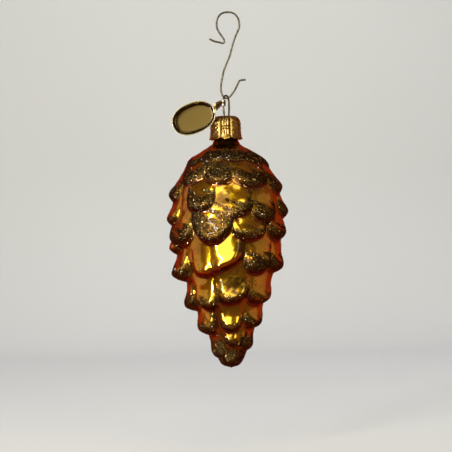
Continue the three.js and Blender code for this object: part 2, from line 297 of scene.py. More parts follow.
def wire_mesh(name: str, line: np.ndarray, samples: int, sides: int = 14) -> bpy.types.Object:
    """Makes a round wire with softly cut ends along a line.

    Args:
        name: the object's name.
        line: corners of the wire's middle, in millimetres.
        samples: stretches along the wire.
        sides: faces round the wire.

    Returns:
        A closed mesh.
    """
    path = evenly_spaced(catmull_rom(line, 24, power=0.5), samples)
    first = path[1] - path[0]
    last = path[-2] - path[-1]
    first /= np.linalg.norm(first)
    last /= np.linalg.norm(last)
    head = [path[0] + first * depth for depth, _ in WIRE_END]
    foot = [path[-1] + last * depth for depth, _ in WIRE_END[::-1]]
    path = np.vstack([head, path[1:-1], foot])
    bpy.ops.object.select_all(action="DESELECT")
    curve = bpy.data.curves.new(name, "CURVE")
    curve.dimensions = "3D"
    curve.bevel_depth = WIRE_RADIUS * MM
    curve.bevel_resolution = sides // 2 - 2
    curve.use_fill_caps = True
    spline = curve.splines.new("POLY")
    spline.points.add(len(path) - 1)
    spline.points.foreach_set("co", np.column_stack([path * MM, np.ones(len(path))]).ravel())
    shares = [share for _, share in WIRE_END]
    radii = np.ones(len(path))
    radii[: len(shares)] = shares
    radii[-len(shares) :] = shares[::-1]
    spline.points.foreach_set("radius", radii)
    piece = bpy.data.objects.new(name, curve)
    bpy.context.scene.collection.objects.link(piece)
    make_active(piece)
    bpy.ops.object.convert(target="MESH")
    piece = bpy.context.object
    face_outwards(piece)
    shade(piece, 50.0)
    return piece


# Finishes


class Nodes:
    """A small hand for wiring one material."""

    def __init__(self, name: str) -> None:
        """Starts an empty material of the given name."""
        self.material = bpy.data.materials.new(name)
        self.material.use_nodes = True
        self.tree = self.material.node_tree
        self.tree.nodes.clear()
        self.shader = self.add("ShaderNodeBsdfPrincipled")
        output = self.add("ShaderNodeOutputMaterial")
        self.link(self.shader, "BSDF", output, "Surface")
        self.place = self.add("ShaderNodeTexCoord")

    def add(self, kind: str, **settings: object) -> bpy.types.Node:
        """Adds a node.

        Args:
            kind: the node's type.
            settings: its own settings, set as they are.

        Returns:
            The node.
        """
        node = self.tree.nodes.new(kind)
        for key, value in settings.items():
            setattr(node, key, value)
        return node

    def link(self, source: bpy.types.Node, output: str, target: bpy.types.Node, socket: str | int) -> None:
        """Joins a node's output to another node's input."""
        self.tree.links.new(source.outputs[output], target.inputs[socket])

    def noise(self, scale: float, detail: float = 3.0, stretch: tuple = (1.0, 1.0, 1.0)) -> bpy.types.Node:
        """Adds noise on the piece's own coordinates.

        Args:
            scale: waves per metre.
            detail: finer layers.
            stretch: how much each axis is squeezed.

        Returns:
            The noise node, with its Fac output.
        """
        mapping = self.add("ShaderNodeMapping")
        mapping.inputs["Scale"].default_value = stretch
        noise = self.add("ShaderNodeTexNoise")
        noise.inputs["Scale"].default_value = scale
        noise.inputs["Detail"].default_value = detail
        self.link(self.place, "Object", mapping, "Vector")
        self.link(mapping, "Vector", noise, "Vector")
        return noise

    def ramp(self, source: bpy.types.Node, output: str, stops: list) -> bpy.types.Node:
        """Adds a colour ramp.

        Args:
            source: the node that drives it.
            output: that node's output.
            stops: pairs of a place from 0 to 1 and a colour.

        Returns:
            The ramp, with its Color output.
        """
        ramp = self.add("ShaderNodeValToRGB")
        elements = ramp.color_ramp.elements
        while len(elements) > 1:
            elements.remove(elements[-1])
        elements[0].position = stops[0][0]
        elements[0].color = (*stops[0][1], 1.0)
        for place, colour in stops[1:]:
            elements.new(place).color = (*colour, 1.0)
        self.link(source, output, ramp, "Fac")
        return ramp

    def mix(self, share: object, first: object, second: object, blend: str = "MIX") -> bpy.types.Node:
        """Mixes two colours.

        Args:
            share: a number, or a node and its output.
            first: a colour, or a node and its output.
            second: the same.
            blend: Blender's way of mixing.

        Returns:
            The mix node, with its Color output.
        """
        node = self.add("ShaderNodeMixRGB", blend_type=blend)
        for socket, value in zip(("Fac", "Color1", "Color2"), (share, first, second)):
            if isinstance(value, tuple) and isinstance(value[0], bpy.types.Node):
                self.link(value[0], value[1], node, socket)
            elif socket == "Fac":
                node.inputs[socket].default_value = value
            else:
                node.inputs[socket].default_value = (*value, 1.0)
        return node

    def attribute(self, name: str) -> bpy.types.Node:
        """Reads a number stored on the mesh, from the Fac output."""
        return self.add("ShaderNodeAttribute", attribute_name=name)

    def scaled(self, source: bpy.types.Node, output: str, low: float, high: float) -> bpy.types.Node:
        """Maps 0 to 1 onto low to high, with a Result output."""
        node = self.add("ShaderNodeMapRange")
        node.inputs["To Min"].default_value = low
        node.inputs["To Max"].default_value = high
        self.link(source, output, node, "Value")
        return node

    def larger(self, first: tuple, second: tuple) -> bpy.types.Node:
        """Takes the larger of two numbers, each a node and its output, with a Value output."""
        node = self.add("ShaderNodeMath", operation="MAXIMUM")
        self.link(*first, node, 0)
        self.link(*second, node, 1)
        return node

    def bump(self, source: bpy.types.Node, output: str, height_mm: float) -> None:
        """Raises the surface by a texture, with the height given in millimetres."""
        node = self.add("ShaderNodeBump")
        node.inputs["Distance"].default_value = height_mm * MM
        self.link(source, output, node, "Height")
        self.link(node, "Normal", self.shader, "Normal")

    def set(self, **values: object) -> None:
        """Sets constant values on the shader's own sockets, with spaces as underscores."""
        for key, value in values.items():
            self.shader.inputs[key.replace("_", " ")].default_value = value


@dataclass(frozen=True)
class LacquerFinish:
    """Silvered glass under an amber lacquer.

    The lacquer carries painted shade, deep red under the lips and in the low ground between scales; it is
    brown and dull under the glitter's glue, and dark where the silvering has tarnished.
    """

    face: tuple = (1.0, 0.66, 0.02)
    deep: tuple = (0.70, 0.33, 0.015)
    painted_shade: tuple = (0.22, 0.016, 0.001)
    glue: tuple = (0.15, 0.060, 0.014)
    tarnish: tuple = (0.045, 0.015, 0.008)
    edge: tuple = (0.85, 0.16, 0.02, 1.0)
    coat_tint: tuple = (1.0, 0.90, 0.55, 1.0)
    coat_share: tuple = (1.0, 0.15)
    polish: tuple = (0.12, 0.23)
    dulling: tuple = (0.1, 0.42)
    ripple_height: float = 0.05

    def build(self) -> bpy.types.Material:
        """Builds the lacquer."""
        nodes = Nodes("amber_lacquer")
        cloud = nodes.noise(90.0, 4.0)
        colour = nodes.ramp(cloud, "Fac", [(0.3, self.deep), (0.55, self.face), (1.0, self.face)])
        glued = nodes.attribute("glue")
        spots = nodes.attribute("tarnish")
        painted_shade_share = nodes.attribute("painted_shade")
        # The first layer is painted shade: deep red under the lips and in the low ground between scales.
        for layer, tone in ((painted_shade_share, self.painted_shade), (glued, self.glue), (spots, self.tarnish)):
            colour = nodes.mix((layer, "Fac"), (colour, "Color"), tone)
        nodes.link(colour, "Color", nodes.shader, "Base Color")
        dull = nodes.larger((glued, "Fac"), (spots, "Fac"))
        grain = nodes.noise(420.0, 2.0)
        smooth = nodes.scaled(grain, "Fac", *self.polish)
        matt = nodes.scaled(dull, "Value", *self.dulling)
        rough = nodes.larger((smooth, "Result"), (matt, "Result"))
        nodes.link(rough, "Value", nodes.shader, "Roughness")
        coat = nodes.scaled(dull, "Value", *self.coat_share)
        nodes.link(coat, "Result", nodes.shader, "Coat Weight")
        ripple = nodes.noise(260.0, 3.0)
        nodes.bump(ripple, "Fac", self.ripple_height)
        nodes.set(
            Metallic=1.0,
            Coat_Roughness=0.03,
            Coat_IOR=1.8,
            Coat_Tint=self.coat_tint,
            Specular_Tint=self.edge,
        )
        return nodes.material


@dataclass(frozen=True)
class GlitterFinish:
    """One colour of glitter.

    tones pairs a flake's own draw, from 0 to 1, with the share of the full colour that it shows, so that
    most flakes are dark and a few are bright.
    """

    name: str
    colour: tuple
    roughness: float = 0.2
    tones: tuple = ((0.0, 0.06), (0.45, 0.06), (0.7, 0.3), (0.85, 0.3), (0.9, 1.0))

    def build(self) -> bpy.types.Material:
        """Builds the glitter, with its own tone on each flake."""
        nodes = Nodes(self.name)
        draw = nodes.attribute("tone")
        stops = [(place, tuple(share * channel for channel in self.colour)) for place, share in self.tones]
        tone = nodes.ramp(draw, "Fac", stops)
        nodes.link(tone, "Color", nodes.shader, "Base Color")
        nodes.set(Metallic=1.0, Roughness=self.roughness)
        return nodes.material


@dataclass(frozen=True)
class MetalFinish:
    """Drawn or stamped metal with fine scratches and small marks.

    hollow_shade names a number stored on the mesh and the darker colour painted where it is 1, as painted
    shade in the sunk hollows.
    """

    name: str
    bright: tuple
    dull: tuple
    roughness: tuple = (0.16, 0.38)
    grain: tuple = (1.0, 1.0, 0.12)
    hollow_shade: tuple = ()

    def build(self) -> bpy.types.Material:
        """Builds the metal."""
        nodes = Nodes(self.name)
        cloud = nodes.noise(500.0, 4.0)
        tone = nodes.ramp(cloud, "Fac", [(0.35, self.dull), (0.6, self.bright)])
        # Painted shade: the hollows named by the mesh's number are mixed towards a dark colour.
        if self.hollow_shade:
            attribute, colour = self.hollow_shade
            tone = nodes.mix((nodes.attribute(attribute), "Fac"), (tone, "Color"), colour)
        nodes.link(tone, "Color", nodes.shader, "Base Color")
        scratches = nodes.noise(3000.0, 3.0, self.grain)
        rough = nodes.scaled(scratches, "Fac", *self.roughness)
        nodes.link(rough, "Result", nodes.shader, "Roughness")
        nodes.bump(scratches, "Fac", 0.008)
        nodes.set(Metallic=1.0)
        return nodes.material


@dataclass(frozen=True)
class StageFinish:
    """Plain pale matt paint for the backdrop."""

    colour: tuple = (0.74, 0.75, 0.79)

    def build(self) -> bpy.types.Material:
        """Builds the paint."""
        nodes = Nodes("backdrop_paint")
        cloud = nodes.noise(3.0, 2.0)
        dark = tuple(0.96 * channel for channel in self.colour)
        tone = nodes.ramp(cloud, "Fac", [(0.3, dark), (0.7, self.colour)])
        nodes.link(tone, "Color", nodes.shader, "Base Color")
        nodes.set(Roughness=0.9)
        return nodes.material


# The glass cone


@dataclass(frozen=True)
class Scale:
    """One scale: its turn from the front in degrees, and sizes in millimetres.

    lip is the height of the lip's middle above the tip, slope is how much higher its right end is, lift
    is how much higher both ends are, as a share of the width, and dust is the share of the scale's length
    that glitter covers.
    """

    turn: float
    lip: float
    wide: float
    long: float
    out: float
    slope: float = 0.0
    lift: float = 0.2
    dust: float = 0.4


FRONT_SCALES = (
    Scale(-62, 87, 14, 9, 0.8, dust=0.45),
    Scale(-23, 88.2, 13, 8, 0.8, dust=1.2),
    Scale(12.5, 88.6, 12, 8, 0.7, dust=1.1),
    Scale(50, 87.4, 14, 9, 0.8, dust=1.0),
    Scale(84, 86.5, 13, 9, 0.8, dust=0.6),
    Scale(-48, 79.5, 15, 12, 1.6, dust=0.6),
    Scale(-9.5, 79.2, 13.5, 12, 1.8, dust=1.0),
    Scale(29, 77.6, 20, 14, 2.4, -1.4, dust=0.55),
    Scale(73, 75.2, 16, 12, 2.6, dust=0.6),
    Scale(-78, 72.7, 15, 11, 3.2, dust=0.6),
    Scale(-30, 67.7, 15, 14, 2.6, dust=0.6),
    Scale(12.5, 65.5, 13, 14, 2.4, 5.4, lift=0.08, dust=0.5),
    Scale(42, 62.8, 15, 15, 2.6, dust=0.5),
    Scale(82, 64.9, 12, 10, 3.2, dust=0.6),
    Scale(-76, 62.2, 15, 12, 3.4, dust=0.35),
    Scale(-16.5, 54.7, 20.5, 20, 3, 0.6, lift=0.4, dust=0.75),
    Scale(23, 55.8, 17.5, 13, 2.6, dust=0.4),
    Scale(64, 55.4, 17, 12, 3.4, dust=0.5),
    Scale(-63, 54, 21, 13, 3.8, dust=0.55),
    Scale(-77, 50.5, 11, 9, 4.2, dust=0.3),
    Scale(-29.5, 41.2, 12.5, 14, 3, lift=0.1, dust=0.12),
    Scale(-4, 44.2, 16.5, 14, 3.2, 7, lift=0.05, dust=0.12),
    Scale(36.5, 41.9, 14.5, 14, 3.4, dust=0.6),
    Scale(72, 42, 16, 13, 4, dust=0.5),
    Scale(-73, 39.5, 16, 12, 6.6, dust=0.5),
    Scale(-36, 27.1, 13.5, 14, 3.8, dust=0.42),
    Scale(6, 29.7, 15.5, 14, 4, 3.4, dust=0.4),
    Scale(50, 28.8, 18, 13, 4.2, dust=0.4),
    Scale(-80, 26.5, 13.5, 12, 5.4, dust=0.6),
    Scale(2, 17.5, 10.5, 11, 3, dust=0.4),
    Scale(-58, 16.3, 15, 11, 4.8, dust=0.55),
    Scale(55, 18.6, 14, 10, 3.6, dust=0.5),
    Scale(12, 10.8, 10, 8, 2.2, dust=0.45),
    Scale(-55, 5.5, 11, 10, 2, dust=0.8),
    Scale(61, 8.6, 10, 9, 2.4, dust=0.8),
    Scale(-6, 2.4, 6, 6, 1, dust=1.0),
)
HALF_TURN = 180.0

# Where the silvering has gone dark: turn, height above the tip, half width, half height and strength.
TARNISH_SPOTS = (
    (4, 37.5, 7, 4.5, 0.95),
    (12, 52.5, 4, 4, 0.9),
    (-24, 24, 5, 3, 0.5),
    (40, 46, 6, 4, 0.6),
    (-30, 62, 8, 5, 0.5),
    (30, 66, 5, 3, 0.6),
    (-5, 72, 6, 4, 0.8),
)

# The lacquer lies this far under the coated outside, so that the glitter ends at it.
GLITTER_ROOM = 0.36

CORE_CORNERS = (
    (0, 0),
    (3.8, 1.3),
    (5.7, 3.8),
    (7.2, 7.5),
    (9.6, 14.2),
    (14.7, 27),
    (19.4, 40),
    (22.7, 53),
    (23.7, 66),
    (22.4, 76.5),
    (19.2, 84.8),
    (15.9, 90),
    (11.9, 93.2),
    (7.6, 95.8),
    (5.2, 97.8),
    (4.8, 100),
    (4.8, 103),
    (4.8, 106.3),
)


class ConeSurface:
    """The outside of the glass as a formula of turn and length of profile."""

    length: float = 108.0
    lip_start: float = 1.2
    lip_start_growth: float = 0.25
    lip_fall: float = 2.6
    lip_fall_growth: float = 0.55
    bulge: float = 0.3
    bulge_above: float = 1.0
    bulge_width: float = 2.2
    cross_power: float = 2.4
    cross_softness: float = 0.8
    rise_power: float = 1.2
    blend_power: float = 6.0
    dent_depth: float = 0.3
    # The next numbers place painted shade: a dark band under each lip, fading to its sides and where
    # another scale covers it, and a weaker share in the low ground.
    shade_top: float = 1.7
    shade_top_fade: float = 1.2
    shade_foot: float = 1.7
    shade_foot_growth: float = 0.35
    shade_foot_fade: float = 1.0
    shade_side: float = 0.75
    shade_side_fade: float = 0.35
    shade_hidden: float = 0.7
    shade_hidden_fade: float = 0.8
    low_relief: float = 0.9
    valley_shade: float = 0.32
    dust_ragged: float = 0.2
    dust_fade: float = 0.22
    dust_least: float = 0.3
    dust_full: float = 0.5
    dust_under: float = 0.7
    neck_start: float = 92.5
    neck_fade: float = 3.0
    tip_cover: float = 0.8
    tip_height: float = 5.0
    tip_fade: float = 7.0

    def __init__(self) -> None:
        """Samples the core's profile and finds each lip on it."""
        fine = evenly_spaced(catmull_rom(np.array(CORE_CORNERS, float), 80), 1200)
        self.radius, self.height = fine[:, 0], fine[:, 1]
        step = np.linalg.norm(fine[1] - fine[0])
        self.arc = np.arange(len(fine)) * step
        along = np.gradient(fine, step, axis=0)
        along /= np.linalg.norm(along, axis=1)[:, None]
        self.out_x, self.out_z = along[:, 1], -along[:, 0]
        self.total = float(self.arc[-1])
        back = [replace(scale, turn=HALF_TURN - scale.turn, slope=-scale.slope) for scale in FRONT_SCALES]
        self.scales = [*FRONT_SCALES, *back]

    def at(self, values: np.ndarray, arc: np.ndarray) -> np.ndarray:
        """Reads a sampled value of the profile at lengths of profile."""
        return np.interp(arc, self.arc, values)

    def one_scale(self, scale: Scale, turn: np.ndarray, arc: np.ndarray) -> tuple:
        """Finds how one scale stands out of the core.

        Args:
            scale: the scale.
            turn: degrees from the front.
            arc: length of profile from the tip.

        Returns:
            How far it stands out, and the distance above its lip.
        """
        lip_arc = float(np.interp(scale.lip, self.height, self.arc))
        lip_radius = float(self.at(self.radius, np.array([lip_arc]))[0]) + scale.out
        apart = (turn - scale.turn + HALF_TURN) % 360.0 - HALF_TURN
        radius = (self.at(self.radius, arc) + lip_radius) / 2.0
        across = np.radians(apart) * radius / (scale.wide / 2.0)
        held = np.clip(np.abs(across), 0.0, 1.0)
        ends = scale.lift * scale.wide * held**2 + scale.slope / 2.0 * np.clip(across, -1.0, 1.0)
        above = arc - lip_arc - ends
        start = self.lip_start + self.lip_start_growth * scale.out
        ramp = (1.0 - np.clip(above / scale.long, 0.0, 1.0)) ** self.rise_power
        bulge = self.bulge * np.exp(-(((above - start - self.bulge_above) / self.bulge_width) ** 2))
        under = 1.0 - smooth_step((start - above) / (self.lip_fall + self.lip_fall_growth * scale.out))
        cross = (1.0 - held**self.cross_power) ** self.cross_softness
        return scale.out * (ramp + bulge) / (1.0 + self.bulge / 2.0) * under * cross, above

    def relief(self, turn: np.ndarray, arc: np.ndarray) -> np.ndarray:
        """The height of all scales together, as a soft maximum."""
        total = np.zeros_like(turn, dtype=float)
        for scale in self.scales:
            total += self.one_scale(scale, turn, arc)[0] ** self.blend_power
        return total ** (1.0 / self.blend_power)

    def painted_shade_share(self, turn: np.ndarray, arc: np.ndarray, relief: np.ndarray) -> np.ndarray:
        """How much painted shade a place gets, from 0 to 1: most under the lips.

        Args:
            turn: degrees from the front.
            arc: length of profile from the tip.
            relief: the height of all scales together there.

        Returns:
            One number for each place.
        """
        under = np.zeros_like(turn, dtype=float)
        for scale in self.scales:
            height, above = self.one_scale(scale, turn, arc)
            apart = (turn - scale.turn + HALF_TURN) % 360.0 - HALF_TURN
            radius = self.at(self.radius, arc) + scale.out
            across = np.abs(np.radians(apart)) * radius / (scale.wide / 2.0)
            foot = self.shade_foot + self.shade_foot_growth * scale.out
            band = smooth_step((self.shade_top - above) / self.shade_top_fade)
            band = band * smooth_step((above + foot) / self.shade_foot_fade)
            own = 1.0 - smooth_step((relief - height - self.shade_hidden) / self.shade_hidden_fade)
            side = 1.0 - smooth_step((across - self.shade_side) / self.shade_side_fade)
            under = np.maximum(under, band * own * side)
        return np.maximum(under, self.valley_shade * (1.0 - smooth_step(relief / self.low_relief)))

    def dents(self, turn: np.ndarray, arc: np.ndarray) -> np.ndarray:
        """Shallow dents of the hand-blown glass, from 0 to 1."""
        angle = np.radians(turn)
        broad = np.sin(5.0 * angle + 0.31 * arc + 1.2 * np.sin(0.17 * arc + angle))
        broad = broad * np.sin(0.42 * arc - 3.0 * angle + 0.7)
        small = np.sin(13.0 * angle - 0.75 * arc + 2.0 * np.sin(0.23 * arc + 2.0 * angle))
        return 0.5 + 0.34 * broad + 0.16 * small

    def dust(self, turn: np.ndarray, arc: np.ndarray) -> np.ndarray:
        """How thick the glitter lies, from 0 to 1, by the scale that a place is on."""
        owner = np.zeros_like(turn, dtype=float)
        thick = np.zeros_like(turn, dtype=float)
        angle = np.radians(turn)
        patch = np.sin(9.0 * angle + 0.9 * arc) * np.sin(0.6 * arc - 7.0 * angle)
        patch = patch + np.sin(17.0 * angle + 1.7 * arc)
        for scale in self.scales:
            height, above = self.one_scale(scale, turn, arc)
            share = above / scale.long
            edge = scale.dust * (1.0 + self.dust_ragged * patch)
            most = self.dust_least + (1.0 - self.dust_least) * min(scale.dust / self.dust_full, 1.0)
            cover = smooth_step((edge - share) / self.dust_fade) * most
            cover *= np.where(above < 0.0, np.exp(above / self.dust_under), 1.0)
            taller = height > owner
            thick = np.where(taller, cover, thick)
            owner = np.where(taller, height, owner)
        return thick

    def cover(self, turn: np.ndarray, arc: np.ndarray) -> np.ndarray:
        """The share of the glass that glitter hides, with none at the neck and most at the tip."""
        height = self.at(self.height, arc)
        neck = 1.0 - smooth_step((height - self.neck_start) / self.neck_fade)
        tip = self.tip_cover * (1.0 - smooth_step((height - self.tip_height) / self.tip_fade))
        return np.clip(np.maximum(self.dust(turn, arc), tip) * neck, 0.0, 1.0)

    def points(self, turn: np.ndarray, arc: np.ndarray, lift: np.ndarray | float = 0.0) -> np.ndarray:
        """Places on the glass.

        Args:
            turn: degrees from the front.
            arc: length of profile from the tip.
            lift: extra distance out of the glass, in millimetres.

        Returns:
            One row for each place, in millimetres.
        """
        out = self.relief(turn, arc) - self.dent_depth * self.dents(turn, arc) - GLITTER_ROOM + lift
        radius = self.at(self.radius, arc) + out * self.at(self.out_x, arc)
        height = self.at(self.height, arc) + out * self.at(self.out_z, arc) - self.length
        return from_axis(turn, radius, height)


@dataclass
class PineConeGlass:
    """The blown shell: spun from its profile, then drawn out into scales."""

    surface: ConeSurface
    steps_round: int = 320
    rings: int = 262
    inner_rings: int = 22
    wall: float = 0.9
    shade_share: float = 0.9
    glue_share: float = 0.92
    spot_ragged: float = 0.18
    spot_core: float = 0.4
    spot_fade: float = 0.7
    finish: LacquerFinish = field(default_factory=LacquerFinish)

    def build(self) -> bpy.types.Object:
        """Builds and dresses the glass.

        Returns:
            The finished piece.
        """
        surface = self.surface
        outer_arc = np.linspace(0.0, surface.total, self.rings + 1)
        outer = np.column_stack(
            [surface.at(surface.radius, outer_arc), surface.at(surface.height, outer_arc) - surface.length]
        )
        outer[0, 0] = 0.0
        inner_arc = np.linspace(surface.total, 0.0, self.inner_rings + 1)[:-1]
        radius = surface.at(surface.radius, inner_arc) - self.wall * surface.at(surface.out_x, inner_arc)
        height = surface.at(surface.height, inner_arc) - self.wall * surface.at(surface.out_z, inner_arc)
        inner = np.column_stack([radius, height - surface.length])
        inner = inner[inner[:, 0] > 2.0 * self.wall]
        low = np.array([[0.0, inner[-1, 1] - self.wall]])
        piece = spin_profile("lacquered_glass_shell", np.vstack([outer, inner, low]), self.steps_round)
        self.raise_scales(piece)
        shade(piece)
        piece.data.materials.append(self.finish.build())
        return piece

    def raise_scales(self, piece: bpy.types.Object) -> None:
        """Moves the outer skin out to its scales, and stores the painted shade, tarnish and glue."""
        surface = self.surface
        points = read_points(piece)
        turn, radius, height = round_axis(points)
        above_tip = height + surface.length
        arc = np.interp(above_tip, surface.height, surface.arc)
        outer = radius > np.interp(above_tip, surface.height, surface.radius) - 0.4 * self.wall
        outer &= radius > 1e-6
        points[outer] = surface.points(turn[outer], arc[outer])
        # Painted shade under the lips and in the low ground between scales.
        painted_shade = np.zeros(len(points))
        relief = surface.relief(turn[outer], arc[outer])
        painted_shade[outer] = surface.painted_shade_share(turn[outer], arc[outer], relief)
        write_points(piece, points)
        set_attribute(piece, "painted_shade", painted_shade * self.shade_share)
        dark = np.zeros(len(points))
        dark[outer] = self.tarnished(turn[outer], above_tip[outer])
        set_attribute(piece, "tarnish", dark)
        glue = np.zeros(len(points))
        glue[outer] = self.glue_share * surface.cover(turn[outer], arc[outer])
        set_attribute(piece, "glue", glue)

    def tarnished(self, turn: np.ndarray, height: np.ndarray) -> np.ndarray:
        """How dark the silvering has gone, from 0 to 1, in ragged spots.

        Args:
            turn: degrees from the front.
            height: above the tip, in millimetres.

        Returns:
            One number for each place.
        """
        angle = np.radians(turn)
        ragged = np.sin(23.0 * angle + 0.9 * height) * np.sin(1.3 * height - 17.0 * angle)
        ragged = ragged + 0.6 * np.sin(41.0 * angle - 2.3 * height)
        total = np.zeros_like(turn)
        for middle, level, wide, tall, strength in TARNISH_SPOTS:
            for centre in (middle, HALF_TURN - middle):
                apart = np.radians((turn - centre + HALF_TURN) % 360.0 - HALF_TURN)
                radius = self.surface.radius[np.searchsorted(self.surface.height, level)]
                far = np.hypot(apart * radius / wide, (height - level) / tall) + self.spot_ragged * ragged
                spot = 1.0 - smooth_step((far - self.spot_core) / self.spot_fade)
                total = np.maximum(total, strength * spot)
        return total


class GlitterKind(Enum):
    """Colours of glitter: name, tone and share of all flakes."""

    GOLD = ("glitter_gold", (0.80, 0.54, 0.20), 0.42)
    SILVER = ("glitter_silver", (0.80, 0.76, 0.68), 0.22)
    BRONZE = ("glitter_bronze", (0.10, 0.06, 0.035), 0.36)


@dataclass
class GlitterCoat:
    """Loose glitter glued to the lips, thick on the shoulders and with a few strays between."""

    surface: ConeSurface
    tries: int = 200000
    seed: int = 41
    size: tuple = (0.16, 0.32)
    fold: float = 0.03
    tilt: float = 0.38
    strays: float = 0.03
    lift: float = 0.1
    turn_step: float = 0.4
    arc_step: float = 0.15

    def build(self) -> list:
        """Builds one piece for each colour.

        Returns:
            The pieces.
        """
        rng = np.random.default_rng(self.seed)
        surface = self.surface
        weight = surface.radius + 1.0
        share = np.cumsum(weight) / weight.sum()
        arc = np.interp(rng.random(self.tries), share, surface.arc)
        turn = rng.uniform(-180.0, 180.0, self.tries)
        kept = rng.random(self.tries) < self.surface.cover(turn, arc) + self.strays
        turn, arc = turn[kept], arc[kept]
        draw = rng.random(len(turn))
        pieces = []
        low = 0.0
        for kind in GlitterKind:
            name, colour, part = kind.value
            chosen = (draw >= low) & (draw < low + part)
            low += part
            pieces.append(self.flakes(name, turn[chosen], arc[chosen], rng, colour))
        return pieces

    def flakes(
        self, name: str, turn: np.ndarray, arc: np.ndarray, rng: np.random.Generator, colour: tuple
    ) -> bpy.types.Object:
        """Makes square flakes, each folded on its diagonals, lying roughly on the glass.

        Args:
            name: the piece's name.
            turn: degrees from the front, one for each flake.
            arc: length of profile, one for each flake.
            rng: the seeded source of draws.
            colour: the flakes' tone.

        Returns:
            The piece.
        """
        surface = self.surface
        count = len(turn)
        centre = surface.points(turn, arc)
        right = surface.points(turn + self.turn_step, arc) - centre
        up = surface.points(turn, arc + self.arc_step) - centre
        normal = np.cross(right, up)
        normal /= np.linalg.norm(normal, axis=1)[:, None] + 1e-12
        normal += rng.normal(0.0, self.tilt, (count, 3))
        normal /= np.linalg.norm(normal, axis=1)[:, None]
        side = np.cross(normal, rng.normal(0.0, 1.0, (count, 3)))
        side /= np.linalg.norm(side, axis=1)[:, None]
        other = np.cross(normal, side)
        half = rng.uniform(*self.size, count)[:, None] / 2.0
        centre = centre + self.lift * normal
        corners = [
            centre + half * (first * side + second * other) + fold * self.fold * normal
            for first, second, fold in ((-1, -1, 1), (1, -1, -1), (1, 1, 1), (-1, 1, -1))
        ]
        points = np.stack(corners, axis=1).reshape(-1, 3)
        sides = np.array([(0, 1, 2), (0, 2, 3), (1, 0, 3), (2, 1, 3)])
        faces = (sides[None] + 4 * np.arange(count)[:, None, None]).reshape(-1, 3)
        piece = new_object(name, points, [], faces.tolist())
        set_attribute(piece, "tone", np.repeat(rng.random(count), len(corners)))
        piece.data.materials.append(GlitterFinish(name + "_flake", colour).build())
        return piece


# The cap


